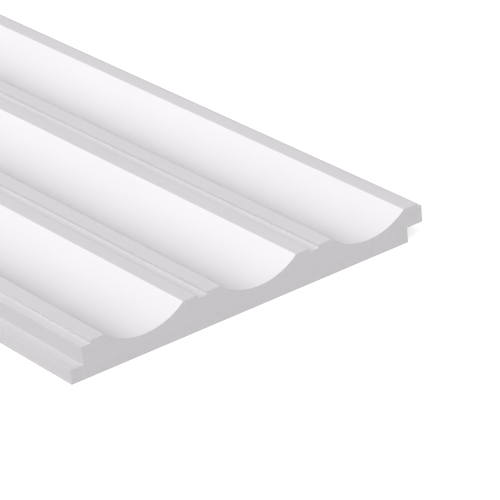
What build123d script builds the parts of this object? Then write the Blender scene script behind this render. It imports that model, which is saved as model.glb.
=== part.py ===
"""Paintable fluted wall panel: one moulded length with concave flutes, grooved ridges and half-lap edges.

The panel lies on its flat back, with the fluted face up. X runs across the flutes from the tongue edge to the
lip edge, Y runs along the flutes, and Z is up. The origin is at the middle of the back face.
"""

import os

from build123d import *

# Overall sizes, in millimetres
panel_length = 2000.0
panel_thickness = 22.0

# Fluted face
flute_count = 3
flute_width = 53.5  # chord of the hollow, from arris to arris
flute_depth = 9.6
ridge_flat_width = 9.5  # flat strip on each side of a ridge's groove
groove_width = 7.0
groove_depth = 2.0
arris_radius = 0.5  # eased edges of the flats

# Half-lap joint: the lip of one panel covers the tongue of the next
tongue_width = 8.5
tongue_thickness = 9.0
tongue_ledge_width = 6.0  # this panel's share of the groove along the joint
lip_overhang = 11.5
lip_ledge_width = 4.0  # the lip's share of that groove
lap_clearance = 0.4  # room for adhesive between the tongue and the lip

# Sizes that follow
ridge_width = 2 * ridge_flat_width + groove_width
flute_pitch = flute_width + ridge_width
fluted_width = flute_count * flute_width + (flute_count - 1) * ridge_width
overall_width = (
    tongue_width + tongue_ledge_width + fluted_width + 2 * ridge_flat_width + lip_ledge_width
)
flute_radius = (flute_width**2 / 4 + flute_depth**2) / (2 * flute_depth)

# Levels above the floor
back_level = 0.0
tongue_level = back_level + tongue_thickness
lip_underside_level = tongue_level + lap_clearance
face_level = back_level + panel_thickness
ledge_level = face_level - groove_depth

# Places across the panel
tongue_edge = -overall_width / 2
lip_edge = overall_width / 2
rebate_wall = tongue_edge + tongue_width
face_start = rebate_wall + tongue_ledge_width
face_end = lip_edge - lip_ledge_width
first_flute_centre = face_start + ridge_flat_width + flute_width / 2
flute_centres = [first_flute_centre + i * flute_pitch for i in range(flute_count)]
groove_centres = [centre + flute_pitch / 2 for centre in flute_centres[:-1]]


def block(left, right, low, high):
    """Rectangle of the section between two places across the panel and two levels."""
    middle = ((left + right) / 2, (low + high) / 2)
    return Pos(*middle) * Rectangle(right - left, high - low)


def lapped_blank():
    """Section before its face is worked: the body with the tongue on one edge and the lip on the other."""
    body = block(rebate_wall, lip_edge - lip_overhang, back_level, ledge_level)
    face = block(face_start, face_end, lip_underside_level, face_level)
    tongue = block(tongue_edge, rebate_wall, back_level, tongue_level)
    lip = block(lip_edge - lip_overhang, lip_edge, lip_underside_level, ledge_level)
    return body + face + tongue + lip


def flutes():
    """Round hollows whose chords lie on the face, one for each flute."""
    axis_level = face_level - flute_depth + flute_radius
    return [Pos(centre, axis_level) * Circle(flute_radius) for centre in flute_centres]


def ridge_grooves():
    """Shallow square grooves along the middle of each ridge, which the joint between two panels repeats."""
    return [
        block(centre - groove_width / 2, centre + groove_width / 2, ledge_level, face_level)
        for centre in groove_centres
    ]


def panel_section():
    """Finished section, with every arris of the face eased."""
    worked = lapped_blank() - (flutes() + ridge_grooves())
    face_arrises = worked.vertices().group_by(Axis.Y)[-1]
    return fillet(face_arrises, arris_radius)


def wall_panel():
    """The panel: its section run along Y, half to each side of the origin."""
    return extrude(Plane.XZ * panel_section(), amount=panel_length / 2, both=True)


os.makedirs("parts", exist_ok=True)
panel = wall_panel()
export_step(panel, "parts/wall_panel.step")

print(f"overall {overall_width:.1f} x {panel_length:.1f} x {panel_thickness:.1f} mm")
print(f"covers {overall_width - tongue_width:.1f} mm, flute radius {flute_radius:.2f} mm")
print(f"volume {panel.volume / 1e6:.3f} litres")
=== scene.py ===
"""Dresses the fluted wall panel: a primed face, sawn ends and a sanded back, in a plain studio.

All sizes are in metres. X runs across the flutes from the tongue edge to the lip edge, Y runs along
them, and Z is up.
"""

import logging
import math
from dataclasses import dataclass, field
from enum import IntEnum

import bpy
import numpy as np
from mathutils import Matrix, Vector

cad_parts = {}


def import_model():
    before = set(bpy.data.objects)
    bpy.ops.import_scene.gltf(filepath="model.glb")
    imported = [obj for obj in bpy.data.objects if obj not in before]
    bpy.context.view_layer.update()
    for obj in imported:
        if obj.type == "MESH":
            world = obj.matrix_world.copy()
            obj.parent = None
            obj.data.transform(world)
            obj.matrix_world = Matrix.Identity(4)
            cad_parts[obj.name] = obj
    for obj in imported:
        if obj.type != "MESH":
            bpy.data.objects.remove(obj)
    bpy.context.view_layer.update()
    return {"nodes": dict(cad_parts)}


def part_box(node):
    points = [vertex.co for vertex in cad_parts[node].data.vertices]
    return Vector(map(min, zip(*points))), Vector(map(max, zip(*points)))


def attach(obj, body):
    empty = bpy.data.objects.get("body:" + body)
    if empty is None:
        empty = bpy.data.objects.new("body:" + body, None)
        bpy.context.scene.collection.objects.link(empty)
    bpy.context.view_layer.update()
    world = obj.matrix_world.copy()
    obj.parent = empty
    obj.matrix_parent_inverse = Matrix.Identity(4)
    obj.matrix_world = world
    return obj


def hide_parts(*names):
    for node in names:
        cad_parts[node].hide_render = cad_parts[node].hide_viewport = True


LOG = logging.getLogger("wall_panel")
CAD_NODE = "wall_panel"
BODY = "root"
MM = 0.001
WAVE_REPEAT = math.tau / 20  # pattern units after which a wave pattern of scale 1 repeats
UNSEEN, SEEN = 1, 2  # inputs of a mix shader that it shows at a factor of 0 and of 1

Colour = tuple[float, float, float]
Size = tuple[float, float, float]
Pair = tuple[float, float]


class Surface(IntEnum):
    """Kinds of surface on the panel, in the order of the mesh's material slots.

    The face is hollows and flats. Sides are the walls beside the flats, the tongue, and the lip's edge
    and underside. Flats, sides and sawn ends take darker tones than the hollows, which is painted
    shade.
    """

    HOLLOW = 0
    FLAT = 1
    SIDE = 2
    SAWN_END = 3
    BACK = 4


def shade(colour: Colour, share: float) -> Colour:
    """A colour made darker or lighter by a share of itself."""
    return tuple(channel * (1.0 + share) for channel in colour)


class NodeSheet:
    """A new material's node tree, with short ways to lay patterns on its shader."""

    def __init__(self, name: str) -> None:
        """Makes the material with only its output and a principled shader.

        Args:
            name: Name of the material.
        """
        self.material = bpy.data.materials.new(name)
        self.material.use_nodes = True
        self.tree = self.material.node_tree
        self.tree.nodes.clear()
        self.shader = self.add("ShaderNodeBsdfPrincipled")
        self.join(self.shader, "BSDF", self.add("ShaderNodeOutputMaterial"), "Surface")

    def add(self, kind: str, **inputs: object) -> bpy.types.Node:
        """Adds a node.

        Args:
            kind: Blender's name for the kind of node.
            **inputs: Values for its input sockets, with underscores for the spaces in their names.

        Returns:
            The new node.
        """
        node = self.tree.nodes.new(kind)
        for name, value in inputs.items():
            node.inputs[name.replace("_", " ")].default_value = value
        return node

    def join(self, source: bpy.types.Node, output: str, target: bpy.types.Node, socket: str) -> None:
        """Links one node's output to another's input."""
        self.tree.links.new(source.outputs[output], target.inputs[socket])

    def place(self, size: Size) -> bpy.types.Node:
        """Coordinates in the panel's own frame.

        Args:
            size: Size of one pattern unit along each axis.

        Returns:
            A mapping node, whose Vector output feeds a pattern.
        """
        coordinates = self.add("ShaderNodeTexCoord")
        mapping = self.add("ShaderNodeMapping", Scale=[1.0 / side for side in size])
        self.join(coordinates, "Object", mapping, "Vector")
        return mapping

    def noise(self, size: Size, detail: float, roughness: float = 0.5) -> bpy.types.Node:
        """Soft noise in the panel's own frame.

        Args:
            size: Size of the noise's patches along each axis.
            detail: Number of finer layers added to the noise.
            roughness: Strength of the finer layers.

        Returns:
            A noise node, whose Fac output is about 0.5 on average.
        """
        pattern = self.add("ShaderNodeTexNoise", Scale=1.0, Detail=detail, Roughness=roughness)
        self.join(self.place(size), "Vector", pattern, "Vector")
        return pattern

    def spread(self, pattern: bpy.types.Node, output: str, low: float, high: float) -> bpy.types.Node:
        """Maps a pattern's usual range to a range of values.

        Args:
            pattern: The pattern's node.
            output: Name of its output.
            low: Value at the pattern's low end.
            high: Value at its high end.

        Returns:
            A map range node, whose Result output holds the values.
        """
        usual_low, usual_high = 0.3, 0.7
        mapped = self.add(
            "ShaderNodeMapRange", From_Min=usual_low, From_Max=usual_high, To_Min=low, To_Max=high
        )
        self.join(pattern, output, mapped, "Value")
        return mapped

    def tint(self, pattern: bpy.types.Node, output: str, colour: Colour, share: float) -> None:
        """Varies the shader's colour by a pattern.

        Args:
            pattern: The pattern's node.
            output: Name of its output.
            colour: Mean colour.
            share: Share of the mean by which the colour goes darker and lighter.
        """
        mixed = self.add("ShaderNodeMix")
        mixed.data_type = "RGBA"
        self.join(self.spread(pattern, output, 0.0, 1.0), "Result", mixed, "Factor")
        tones = [socket for socket in mixed.inputs if socket.type == "RGBA"]
        for socket, side in zip(tones, (-share, share)):
            socket.default_value = (*shade(colour, side), 1.0)
        result = next(socket for socket in mixed.outputs if socket.type == "RGBA")
        self.tree.links.new(result, self.shader.inputs["Base Color"])

    def dull(self, pattern: bpy.types.Node, output: str, limits: Pair) -> None:
        """Varies the shader's roughness by a pattern, between two limits."""
        self.join(self.spread(pattern, output, *limits), "Result", self.shader, "Roughness")

    def relief(
        self, pattern: bpy.types.Node, output: str, depth: float, below: bpy.types.Node | None = None
    ) -> bpy.types.Node:
        """Bumps the shader's surface by a pattern.

        Args:
            pattern: The pattern's node.
            output: Name of its height output.
            depth: Height of the relief.
            below: An earlier relief to add to.

        Returns:
            The bump node, for the next relief.
        """
        bump = self.add("ShaderNodeBump", Strength=1.0, Distance=depth)
        self.join(pattern, output, bump, "Height")
        if below is not None:
            self.join(below, "Normal", bump, "Normal")
        self.join(bump, "Normal", self.shader, "Normal")
        return bump


@dataclass(frozen=True)
class PrimerFinish:
    """Sprayed white primer on smooth rigid foam.

    Args:
        name: Name of the material.
        colour: Mean colour of the coat; the copies on flats and sides are darker as painted shade.
        roughness: Lowest and highest roughness.
        shine: Strength of the coat's mirror-like part, which is 0.5 for plain plastic.
        mottle: Share by which the coat's thickness varies its tone.
        cloud_width: Width of the patches of thicker and thinner coat.
        cloud_length: Length of those patches along the panel.
        line_width: Width of the faint lines that the forming die leaves along the panel.
        line_length: Length of those lines.
        line_depth: Depth of those lines.
        peel: Size of the spray's fine dimples.
        peel_depth: Depth of those dimples.
    """

    name: str
    colour: Colour
    roughness: Pair = (0.75, 0.85)
    shine: float = 0.2
    mottle: float = 0.012
    cloud_width: float = 45 * MM
    cloud_length: float = 130 * MM
    line_width: float = 3 * MM
    line_length: float = 600 * MM
    line_depth: float = 0.005 * MM
    peel: float = 1.6 * MM
    peel_depth: float = 0.012 * MM

    def material(self) -> bpy.types.Material:
        """Builds the coat: cloudy tone, faintly lined gloss and fine spray dimples.

        Returns:
            The finished material.
        """
        sheet = NodeSheet(self.name)
        clouds = sheet.noise((self.cloud_width, self.cloud_length, self.cloud_width), detail=3.0)
        sheet.tint(clouds, "Fac", self.colour, self.mottle)
        lines = sheet.noise((self.line_width, self.line_length, self.line_width), detail=2.0)
        sheet.dull(lines, "Fac", self.roughness)
        sheet.shader.inputs["Specular IOR Level"].default_value = self.shine
        lined = sheet.relief(lines, "Fac", self.line_depth)
        dimples = sheet.noise((self.peel,) * 3, detail=2.0, roughness=0.4)
        sheet.relief(dimples, "Fac", self.peel_depth, below=lined)
        return sheet.material


@dataclass(frozen=True)
class SawnFoamFinish:
    """Cut end of the rigid foam: fine closed cells crossed by the saw's marks.

    Args:
        name: Name of the material.
        colour: Mean colour of the foam, darkened as painted shade on the ends.
        roughness: Lowest and highest roughness.
        mottle: Share by which the foam's density varies its tone.
        patch: Size of the denser and looser patches.
        cell: Size of the foam's cells.
        cell_depth: Depth of the cells that the saw opened.
        saw_pitch: Distance between the saw's marks.
        saw_depth: Depth of those marks.
        saw_waver: How far the marks waver, in radians of their wave.
        saw_tilt: Lean of the marks from upright, in radians.
    """

    name: str
    colour: Colour
    roughness: Pair = (0.70, 0.85)
    mottle: float = 0.02
    patch: float = 2.2 * MM
    cell: float = 0.55 * MM
    cell_depth: float = 0.02 * MM
    saw_pitch: float = 2.4 * MM
    saw_depth: float = 0.01 * MM
    saw_waver: float = 1.2
    saw_tilt: float = math.radians(14)

    def material(self) -> bpy.types.Material:
        """Builds the cut: opened cells, saw marks and a dull, slightly mottled tone.

        Returns:
            The finished material.
        """
        sheet = NodeSheet(self.name)
        sheet.tint(sheet.noise((self.patch,) * 3, detail=4.0), "Fac", self.colour, self.mottle)
        cells = sheet.add("ShaderNodeTexVoronoi", Scale=1.0)
        sheet.join(sheet.place((self.cell,) * 3), "Vector", cells, "Vector")
        sheet.dull(cells, "Distance", self.roughness)
        across = sheet.place((self.saw_pitch / WAVE_REPEAT,) * 3)
        across.inputs["Rotation"].default_value = (0.0, self.saw_tilt, 0.0)
        marks = sheet.add("ShaderNodeTexWave", Scale=1.0, Distortion=self.saw_waver, Detail=2.0)
        sheet.join(across, "Vector", marks, "Vector")
        sawn = sheet.relief(marks, "Fac", self.saw_depth)
        sheet.relief(cells, "Distance", self.cell_depth, below=sawn)
        return sheet.material


@dataclass(frozen=True)
class SandedBackFinish:
    """Back of the panel, sanded along its length so that adhesive keys to it.

    Args:
        name: Name of the material.
        colour: Mean colour of the sanded foam.
        roughness: Lowest and highest roughness.
        mottle: Share by which the sanding varies the tone.
        scratch_width: Width of the sanding scratches.
        scratch_length: Length of the sanding scratches.
        scratch_depth: Depth of the sanding scratches.
    """

    name: str
    colour: Colour
    roughness: Pair = (0.65, 0.85)
    mottle: float = 0.03
    scratch_width: float = 0.8 * MM
    scratch_length: float = 60 * MM
    scratch_depth: float = 0.03 * MM

    def material(self) -> bpy.types.Material:
        """Builds the sanded face: long fine scratches that dull and streak it.

        Returns:
            The finished material.
        """
        sheet = NodeSheet(self.name)
        size = (self.scratch_width, self.scratch_length, self.scratch_width)
        scratches = sheet.noise(size, detail=3.0, roughness=0.6)
        sheet.tint(scratches, "Fac", self.colour, self.mottle)
        sheet.dull(scratches, "Fac", self.roughness)
        sheet.relief(scratches, "Fac", self.scratch_depth)
        return sheet.material


Finish = PrimerFinish | SawnFoamFinish | SandedBackFinish


@dataclass(frozen=True)
class Stretch:
    """Part of the section's outline, drawn clockwise as seen from the near end.

    Args:
        points: Places on the outline, across and up.
        normals: Outward directions at those places.
        surface: Kind of surface from each point to the next.
        after: Kind of surface from the last point to the next part of the outline.
    """

    points: list[Pair]
    normals: list[Pair]
    surface: Surface
    after: Surface = Surface.FLAT

    @property
    def first(self) -> Pair:
        """Where the outline comes to this part."""
        return self.points[0]

    @property
    def last(self) -> Pair:
        """Where the outline leaves this part."""
        return self.points[-1]


@dataclass(frozen=True)
class Corner:
    """Square corner of the section.

    Args:
        x: Place across the panel.
        z: Height above the floor.
        radius: Easing of an outer corner or filling of an inner one.
        surface: Kind of surface round the corner.
        after: Kind of surface from the corner to the next part of the outline.
    """

    x: float
    z: float
    radius: float
    surface: Surface = Surface.FLAT
    after: Surface = Surface.FLAT

    @property
    def first(self) -> Pair:
        """Where the outline comes to this part."""
        return self.x, self.z

    @property
    def last(self) -> Pair:
        """Where the outline leaves this part."""
        return self.x, self.z

    def eased(self, before: Pair, after: Pair, steps: int) -> Stretch:
        """Rounds the corner between its neighbours.

        Args:
            before: Point of the outline before the corner.
            after: Point of the outline after it.
            steps: Number of facets in the quarter turn.

        Returns:
            The points of the rounded corner.
        """
        corner = np.array((self.x, self.z))
        arrive = corner - np.array(before)
        arrive /= np.linalg.norm(arrive)
        leave = np.array(after) - corner
        leave /= np.linalg.norm(leave)
        first_normal = np.array((-arrive[1], arrive[0]))
        last_normal = np.array((-leave[1], leave[0]))
        is_outer = arrive[0] * leave[1] - arrive[1] * leave[0] < 0
        side = 1.0 if is_outer else -1.0
        centre = corner - self.radius * (arrive + side * first_normal)
        turns = np.linspace(0.0, math.pi / 2, steps + 1)
        normals = [math.cos(turn) * first_normal + math.sin(turn) * last_normal for turn in turns]
        points = [centre + side * self.radius * normal for normal in normals]
        return Stretch(
            [tuple(point) for point in points], [tuple(n) for n in normals], self.surface, self.after
        )


@dataclass(frozen=True)
class PanelSection:
    """The panel's section, with the same sizes as the solid that it dresses.

    Args:
        low: Lowest corner of the solid, across and up.
        high: Highest corner of the solid, across and up.
        flute_count: Number of hollows across the face.
        flute_width: Chord of a hollow, from arris to arris.
        flute_depth: Depth of a hollow below the face.
        ridge_flat_width: Flat strip on each side of a ridge's groove.
        groove_width: Width of the groove along a ridge.
        groove_depth: Depth of that groove and of the ledges along the joint.
        arris_radius: Easing of the flats' edges.
        tongue_width: How far the tongue stands out.
        tongue_thickness: Thickness of the tongue.
        tongue_ledge_width: Width of the ledge above the tongue.
        lip_overhang: How far the lip stands out over its rebate.
        lip_ledge_width: Width of the ledge on the lip.
        lap_clearance: Room between the tongue and the next panel's lip.
        edge_radius: Easing of the other corners.
        flute_steps: Facets across a hollow.
        turn_steps: Facets round an eased corner.
    """

    low: Pair
    high: Pair
    flute_count: int = 3
    flute_width: float = 53.5 * MM
    flute_depth: float = 9.6 * MM
    ridge_flat_width: float = 9.5 * MM
    groove_width: float = 7.0 * MM
    groove_depth: float = 2.0 * MM
    arris_radius: float = 0.5 * MM
    tongue_width: float = 8.5 * MM
    tongue_thickness: float = 9.0 * MM
    tongue_ledge_width: float = 6.0 * MM
    lip_overhang: float = 11.5 * MM
    lip_ledge_width: float = 4.0 * MM
    lap_clearance: float = 0.4 * MM
    edge_radius: float = 0.3 * MM
    flute_steps: int = 48
    turn_steps: int = 6

    @property
    def flute_radius(self) -> float:
        """Radius of a hollow's arc."""
        return (self.flute_width**2 / 4 + self.flute_depth**2) / (2 * self.flute_depth)

    @property
    def flute_pitch(self) -> float:
        """Distance from one hollow to the next."""
        return self.flute_width + 2 * self.ridge_flat_width + self.groove_width

    @property
    def face_start(self) -> float:
        """Place where the face begins, past the tongue and its ledge."""
        return self.low[0] + self.tongue_width + self.tongue_ledge_width

    @property
    def ledge_level(self) -> float:
        """Height of the grooves' floors and of the ledges along the joint."""
        return self.high[1] - self.groove_depth

    @staticmethod
    def arc(centre: Pair, radius: float, turns: np.ndarray, surface: Surface) -> Stretch:
        """Arc of the outline.

        Args:
            centre: Middle of the arc's circle.
            radius: Radius of the circle, negative round a hollow.
            turns: Lean of the outward normals from upright, in radians.
            surface: Kind of surface along the arc.

        Returns:
            The arc's points.
        """
        normals = [(math.sin(turn), math.cos(turn)) for turn in turns]
        points = [(centre[0] + radius * across, centre[1] + radius * up) for across, up in normals]
        return Stretch(points, normals, surface)

    def flute(self, middle: float) -> list[Stretch]:
        """One hollow with its two eased arrises.

        Args:
            middle: Place of the hollow's middle across the panel.

        Returns:
            The first arris, the hollow and the second arris.
        """
        axis_level = self.high[1] - self.flute_depth + self.flute_radius
        ease_level = self.high[1] - self.arris_radius
        drop = axis_level - ease_level
        half_span = math.sqrt((self.flute_radius + self.arris_radius) ** 2 - drop**2)
        end_turn = math.atan2(half_span, drop)
        over = np.linspace(0.0, end_turn, self.turn_steps + 1)[:-1]
        across = np.linspace(end_turn, -end_turn, self.flute_steps + 1)
        return [
            self.arc((middle - half_span, ease_level), self.arris_radius, over, Surface.FLAT),
            self.arc((middle, axis_level), -self.flute_radius, across, Surface.HOLLOW),
            self.arc((middle + half_span, ease_level), self.arris_radius, -over[::-1], Surface.FLAT),
        ]

    def groove(self, middle: float) -> list[Corner]:
        """Square groove along a ridge.

        Args:
            middle: Place of the groove's middle across the panel.

        Returns:
            The groove's four corners.
        """
        near, far = middle - self.groove_width / 2, middle + self.groove_width / 2
        return [
            Corner(near, self.high[1], self.arris_radius, after=Surface.SIDE),
            Corner(near, self.ledge_level, self.edge_radius),
            # The groove's walls and its far floor corner take the side tone, which is darker as
            # painted shade.
            Corner(far, self.ledge_level, self.edge_radius, Surface.SIDE, Surface.SIDE),
            Corner(far, self.high[1], self.arris_radius, Surface.SIDE),
        ]

    def tongue_edge(self) -> list[Corner]:
        """The edge with the tongue, its rebate and its ledge.

        Returns:
            The corners from the back up to the face.
        """
        left, back = self.low
        wall = left + self.tongue_width
        tongue_top = back + self.tongue_thickness
        return [
            Corner(left, back, self.edge_radius, Surface.SIDE, Surface.SIDE),
            Corner(left, tongue_top, self.edge_radius, Surface.SIDE, Surface.SIDE),
            Corner(wall, tongue_top, self.edge_radius, Surface.SIDE, Surface.SIDE),
            Corner(wall, self.ledge_level, self.edge_radius, Surface.SIDE),
            Corner(self.face_start, self.ledge_level, self.edge_radius, Surface.SIDE, Surface.SIDE),
            Corner(self.face_start, self.high[1], self.arris_radius, Surface.SIDE),
        ]

    def lip_edge(self) -> list[Corner]:
        """The edge with the lip, its ledge and its rebate.

        Returns:
            The corners from the face down to the back.
        """
        right, face = self.high
        face_end = right - self.lip_ledge_width
        wall = right - self.lip_overhang
        underside = self.low[1] + self.tongue_thickness + self.lap_clearance
        return [
            Corner(face_end, face, self.arris_radius, after=Surface.SIDE),
            Corner(face_end, self.ledge_level, self.edge_radius),
            Corner(right, self.ledge_level, self.edge_radius, after=Surface.SIDE),
            Corner(right, underside, self.edge_radius, Surface.SIDE, Surface.SIDE),
            Corner(wall, underside, self.edge_radius, Surface.SIDE, Surface.SIDE),
            Corner(wall, self.low[1], self.edge_radius, Surface.SIDE, Surface.BACK),
        ]

    def parts(self) -> list[Corner | Stretch]:
        """Corners and hollows in order, clockwise from the tongue's lower edge.

        Returns:
            The parts of the outline, with corners not yet eased.
        """
        parts: list[Corner | Stretch] = [*self.tongue_edge()]
        first_middle = self.face_start + self.ridge_flat_width + self.flute_width / 2
        for number in range(self.flute_count):
            middle = first_middle + number * self.flute_pitch
            if number > 0:
                parts += self.groove(middle - self.flute_pitch / 2)
            parts += self.flute(middle)
        return parts + self.lip_edge()

    def outline(self) -> tuple[np.ndarray, np.ndarray, list[Surface]]:
        """The whole closed outline.

        Returns:
            The points, the outward normals and the kind of surface from each point to the next.
        """
        parts = self.parts()
        points, normals, surfaces = [], [], []
        for before, part, after in zip(parts[-1:] + parts[:-1], parts, parts[1:] + parts[:1]):
            if isinstance(part, Corner):
                part = part.eased(before.last, after.first, self.turn_steps)
            points += part.points
            normals += part.normals
            surfaces += [part.surface] * (len(part.points) - 1) + [part.after]
        return np.array(points), np.array(normals), surfaces


@dataclass(frozen=True)
class Ring:
    """The section's outline at one place along the panel.

    Args:
        along: Place along the panel.
        shrink: How far the outline draws in.
        turn: How far its normals turn towards the far end, in radians.
    """

    along: float
    shrink: float = 0.0
    turn: float = 0.0

    def places(self, points: np.ndarray, normals: np.ndarray) -> np.ndarray:
        """Places of the outline's points on this ring."""
        return np.insert(points - normals * self.shrink, 1, self.along, axis=1)

    def directions(self, normals: np.ndarray) -> np.ndarray:
        """Outward directions of the skin on this ring."""
        return np.insert(normals * math.cos(self.turn), 1, math.sin(self.turn), axis=1)


@dataclass
class WallPanel:
    """The one-piece panel, made by running its section along its whole length.

    Args:
        section: Section of the panel.
        near: Place of the near end along the panel.
        far: Place of the far end.
        finishes_and_painted_shade: Finish of each kind of surface; flats, sides and ends also carry
            painted shade.
        saw_edge: Easing of the sawn ends' edges.
        saw_edge_steps: Facets in that easing.
        ring_spacing: Largest distance between the mesh's rings along the length.
    """

    section: PanelSection
    near: float
    far: float
    finishes_and_painted_shade: dict[Surface, Finish]
    saw_edge: float = 0.2 * MM
    saw_edge_steps: int = 3
    ring_spacing: float = 100 * MM
    piece: bpy.types.Object | None = field(default=None, init=False)

    def rings(self) -> list[Ring]:
        """Rings of the mesh from the near end to the far one.

        Returns:
            The rings, with the eased edges of both ends.
        """
        near_end, far_end = [], []
        for turn in np.linspace(math.pi / 2, 0.0, self.saw_edge_steps + 1):
            shrink = self.saw_edge * (1 - math.cos(turn))
            inset = self.saw_edge * (1 - math.sin(turn))
            near_end.append(Ring(self.near + inset, shrink, -turn))
            far_end.append(Ring(self.far - inset, shrink, turn))
        start, stop = near_end[-1].along, far_end[-1].along
        count = math.ceil((stop - start) / self.ring_spacing)
        middle = [Ring(along) for along in np.linspace(start, stop, count + 1)[1:-1]]
        return near_end + middle + far_end[::-1]

    @staticmethod
    def faces(ring_count: int, surfaces: list[Surface]) -> tuple[list[tuple[int, ...]], list[Surface]]:
        """Faces of the skin, ring by ring, and of the two ends.

        Args:
            ring_count: Number of rings.
            surfaces: Kind of surface from each point of a ring to the next.

        Returns:
            The faces, with the near end and the far end last, and the kind of surface of each.
        """
        width = len(surfaces)
        faces, kinds = [], []
        for ring in range(ring_count - 1):
            here, there = ring * width, (ring + 1) * width
            for i, surface in enumerate(surfaces):
                j = (i + 1) % width
                faces.append((here + i, here + j, there + j, there + i))
                kinds.append(surface)
        last = (ring_count - 1) * width
        faces.append(tuple(reversed(range(width))))
        faces.append(tuple(range(last, last + width)))
        return faces, kinds + [Surface.SAWN_END] * 2

    @staticmethod
    def set_normals(mesh: bpy.types.Mesh, directions: np.ndarray) -> None:
        """Shades hollows and eased edges smoothly and the ends flat, by exact normals.

        Args:
            mesh: The panel's mesh, with the near end and the far end as its last faces.
            directions: Outward direction of the skin at each vertex.
        """
        mesh.polygons.foreach_set("use_smooth", np.ones(len(mesh.polygons), dtype=bool))
        corners = np.zeros(len(mesh.loops), dtype=np.int32)
        mesh.loops.foreach_get("vertex_index", corners)
        normals = directions[corners]
        for end, outward in zip(mesh.polygons[-2:], (-1.0, 1.0)):
            normals[end.loop_start:end.loop_start + end.loop_total] = (0.0, outward, 0.0)
        mesh.normals_split_custom_set(normals.tolist())

    def build(self) -> bpy.types.Object:
        """Builds the panel's mesh.

        Returns:
            The panel's object.
        """
        points, normals, surfaces = self.section.outline()
        rings = self.rings()
        vertices = np.concatenate([ring.places(points, normals) for ring in rings])
        directions = np.concatenate([ring.directions(normals) for ring in rings])
        faces, kinds = self.faces(len(rings), surfaces)
        mesh = bpy.data.meshes.new("fluted_panel")
        mesh.from_pydata(vertices.tolist(), [], faces)
        mesh.polygons.foreach_set("material_index", np.array(kinds, dtype=np.int32))
        self.set_normals(mesh, directions)
        mesh.validate()
        self.piece = bpy.data.objects.new("fluted_panel", mesh)
        bpy.context.scene.collection.objects.link(self.piece)
        return self.piece

    def dress(self) -> None:
        """Gives each kind of surface its finish, with painted shade in the tones of flats, sides and
        ends.
        """
        for surface in Surface:
            self.piece.data.materials.append(self.finishes_and_painted_shade[surface].material())

    def join_frame(self) -> None:
        """Lets the piece stand for the solid and ride on its body."""
        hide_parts(CAD_NODE)
        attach(self.piece, BODY)


def direction(azimuth: float, elevation: float) -> Vector:
    """Unit vector towards a place round the panel.

    Args:
        azimuth: Side in degrees: 0 is in front of the near end, -90 on the tongue's side.
        elevation: Height above the horizon, in degrees.

    Returns:
        The direction from the panel.
    """
    turn, rise = math.radians(azimuth), math.radians(elevation)
    level = math.cos(rise)
    return Vector((math.sin(turn) * level, -math.cos(turn) * level, math.sin(rise)))


@dataclass(frozen=True)
class SkyLamp:
    """Broad soft light from one side of the studio.

    Args:
        name: Name of the lamp.
        azimuth: Side that the light comes from, in degrees, as for direction.
        elevation: Height of the light above the horizon, in degrees.
        strength: Light on a surface that faces the lamp.
        softness: Width of the lamp as the panel sees it, in degrees.
    """

    name: str
    azimuth: float
    elevation: float
    strength: float
    softness: float = 70.0

    def hang(self) -> None:
        """Makes the lamp and turns it to the panel."""
        lamp = bpy.data.lights.new(self.name, "SUN")
        lamp.energy = self.strength
        lamp.angle = math.radians(self.softness)
        holder = bpy.data.objects.new(self.name, lamp)
        bpy.context.scene.collection.objects.link(holder)
        holder.rotation_mode = "QUATERNION"
        holder.rotation_quaternion = direction(self.azimuth, self.elevation).to_track_quat("Z", "Y")


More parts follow.
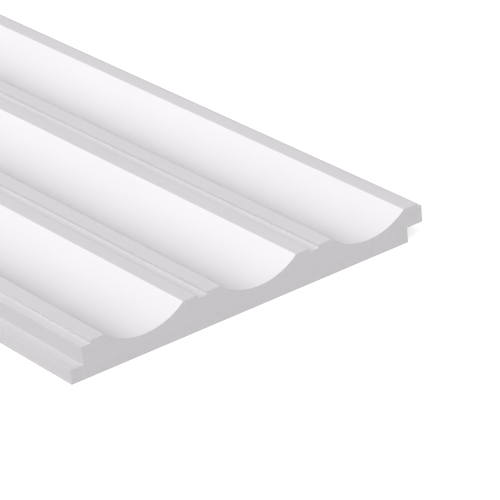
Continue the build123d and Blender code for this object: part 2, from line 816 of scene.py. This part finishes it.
@dataclass(frozen=True)
class Studio:
    """Plain white studio: a pale floor, an even surround and a few soft lamps.

    Args:
        lamps: The soft lamps.
        surround: Strength of the even light from all round.
        floor_size: Length of the floor's sides.
        floor_drop: How far the floor lies below the panel's back, so that the two don't coincide.
        floor_tone: Share of the light that the floor gives back.
        floor_glow: Light added to the floor where it is seen, which makes it white.
    """

    lamps: tuple[SkyLamp, ...]
    surround: float
    floor_size: float = 80.0
    floor_drop: float = 0.05 * MM
    floor_tone: float = 0.8
    floor_glow: float = 0.6

    @staticmethod
    def seen_ray(tree: bpy.types.NodeTree) -> bpy.types.NodeSocket:
        """Value of one for rays from the camera, from gloss and through glass.

        Args:
            tree: Node tree to add the test to.

        Returns:
            The socket that holds the value.
        """
        path = tree.nodes.new("ShaderNodeLightPath")
        seen = path.outputs["Is Camera Ray"]
        for name in ("Is Glossy Ray", "Is Transmission Ray"):
            either = tree.nodes.new("ShaderNodeMath")
            either.operation = "MAXIMUM"
            tree.links.new(seen, either.inputs[0])
            tree.links.new(path.outputs[name], either.inputs[1])
            seen = either.outputs["Value"]
        return seen

    def light_world(self) -> None:
        """Makes the surround: even light on the panel, and white where it is seen."""
        world = bpy.data.worlds.new("surround")
        world.use_nodes = True
        bpy.context.scene.world = world
        tree = world.node_tree
        tree.nodes.clear()
        mixed = tree.nodes.new("ShaderNodeMixShader")
        white = 1.0
        for socket, strength in ((UNSEEN, self.surround), (SEEN, white)):
            glow = tree.nodes.new("ShaderNodeBackground")
            glow.inputs["Strength"].default_value = strength
            glow.inputs["Color"].default_value = (white, white, white, 1.0)
            tree.links.new(glow.outputs["Background"], mixed.inputs[socket])
        tree.links.new(self.seen_ray(tree), mixed.inputs["Fac"])
        output = tree.nodes.new("ShaderNodeOutputWorld")
        tree.links.new(mixed.outputs["Shader"], output.inputs["Surface"])

    def floor_material(self) -> bpy.types.Material:
        """Matte floor that keeps shadows and is white where it is seen.

        Returns:
            The floor's material.
        """
        material = bpy.data.materials.new("studio_floor")
        material.use_nodes = True
        tree = material.node_tree
        tree.nodes.clear()
        matte = tree.nodes.new("ShaderNodeBsdfDiffuse")
        matte.inputs["Color"].default_value = (self.floor_tone, self.floor_tone, self.floor_tone, 1.0)
        glow = tree.nodes.new("ShaderNodeEmission")
        glow.inputs["Strength"].default_value = self.floor_glow
        lifted = tree.nodes.new("ShaderNodeAddShader")
        tree.links.new(matte.outputs["BSDF"], lifted.inputs[0])
        tree.links.new(glow.outputs["Emission"], lifted.inputs[1])
        mixed = tree.nodes.new("ShaderNodeMixShader")
        tree.links.new(self.seen_ray(tree), mixed.inputs["Fac"])
        tree.links.new(matte.outputs["BSDF"], mixed.inputs[UNSEEN])
        tree.links.new(lifted.outputs["Shader"], mixed.inputs[SEEN])
        output = tree.nodes.new("ShaderNodeOutputMaterial")
        tree.links.new(mixed.outputs["Shader"], output.inputs["Surface"])
        return material

    def lay_floor(self) -> None:
        """Lays the floor under the panel."""
        half = self.floor_size / 2
        corners = ((-half, -half), (half, -half), (half, half), (-half, half))
        mesh = bpy.data.meshes.new("studio_floor")
        mesh.from_pydata([(x, y, -self.floor_drop) for x, y in corners], [], [(0, 1, 2, 3)])
        mesh.materials.append(self.floor_material())
        floor = bpy.data.objects.new("studio_floor", mesh)
        bpy.context.scene.collection.objects.link(floor)

    def set_up(self) -> None:
        """Makes the surround, the floor and the lamps."""
        bpy.context.scene.view_settings.view_transform = "Standard"
        self.light_world()
        self.lay_floor()
        for lamp in self.lamps:
            lamp.hang()


@dataclass(frozen=True)
class PhotoCamera:
    """Camera at the photograph's viewing angle.

    Args:
        aim: Place on the panel's face that the camera looks at.
        azimuth: Side that the camera stands on, in degrees, as for direction.
        elevation: Height of the camera above the horizon, in degrees.
        distance: Distance from the camera to its aim.
        roll: Turn of the camera about its line of sight, in degrees.
        lens: Focal length in millimetres, on film as wide as sensor.
        sensor: Width of the film, in millimetres.
        reach: Furthest distance that the camera sees.
    """

    aim: Vector
    azimuth: float
    elevation: float
    distance: float
    roll: float
    lens: float
    sensor: float = 36.0
    reach: float = 200.0

    def set_up(self) -> bpy.types.Object:
        """Makes the camera and gives it to the scene.

        Returns:
            The camera's object.
        """
        data = bpy.data.cameras.new("photo_camera")
        data.lens = self.lens
        data.sensor_width = self.sensor
        data.clip_end = self.reach
        camera = bpy.data.objects.new("photo_camera", data)
        bpy.context.scene.collection.objects.link(camera)
        back = direction(self.azimuth, self.elevation)
        facing = back.to_track_quat("Z", "Y").to_matrix()
        turn = Matrix.Rotation(math.radians(self.roll), 3, "Z")
        place = Matrix.Translation(self.aim + back * self.distance)
        camera.matrix_world = place @ (facing @ turn).to_4x4()
        bpy.context.scene.camera = camera
        return camera


def main() -> None:
    """Builds the panel round its solid, then the studio and the camera."""
    logging.basicConfig(level=logging.INFO, format="%(name)s: %(message)s")
    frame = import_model()
    low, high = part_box(CAD_NODE)
    LOG.info("loaded the solid of %s", ", ".join(frame["nodes"]))

    panel = WallPanel(
        section=PanelSection(low=(low.x, low.z), high=(high.x, high.z)),
        near=low.y,
        far=high.y,
        finishes_and_painted_shade={
            # The hollows keep the primer's own white. The flats and sides take darker copies of it,
            # which is painted shade.
            Surface.HOLLOW: PrimerFinish("primer_in_hollows", colour=(0.904, 0.878, 0.904)),
            Surface.FLAT: PrimerFinish("primer_on_flats_painted_shade", colour=(0.771, 0.746, 0.771)),
            Surface.SIDE: PrimerFinish("primer_on_sides_painted_shade", colour=(0.687, 0.667, 0.687)),
            # The cut foam's cells and saw marks are its own, but its darker tone is painted shade on
            # the ends.
            Surface.SAWN_END: SawnFoamFinish("sawn_foam_painted_shade", colour=(0.675, 0.655, 0.675)),
            Surface.BACK: SandedBackFinish("sanded_back", colour=(0.78, 0.76, 0.775)),
        },
    )
    piece = panel.build()
    panel.dress()
    panel.join_frame()
    LOG.info("built %s with %d faces", piece.name, len(piece.data.polygons))

    studio = Studio(
        lamps=(
            SkyLamp("front", azimuth=-40.0, elevation=40.0, strength=1.65),
            SkyLamp("tongue_side", azimuth=-90.0, elevation=55.0, strength=0.885),
            SkyLamp("back", azimuth=180.0, elevation=35.0, strength=0.388),
        ),
        surround=0.229,
    )
    studio.set_up()
    LOG.info("lit the studio with %d lamps", len(studio.lamps))

    camera = PhotoCamera(
        aim=Vector((17.2 * MM, low.y + 22.9 * MM, high.z)),
        azimuth=-36.29,
        elevation=26.13,
        distance=1.7994,
        roll=-4.47,
        lens=230.4,
    ).set_up()
    LOG.info("set up %s", camera.name)


if __name__ == "__main__":
    main()
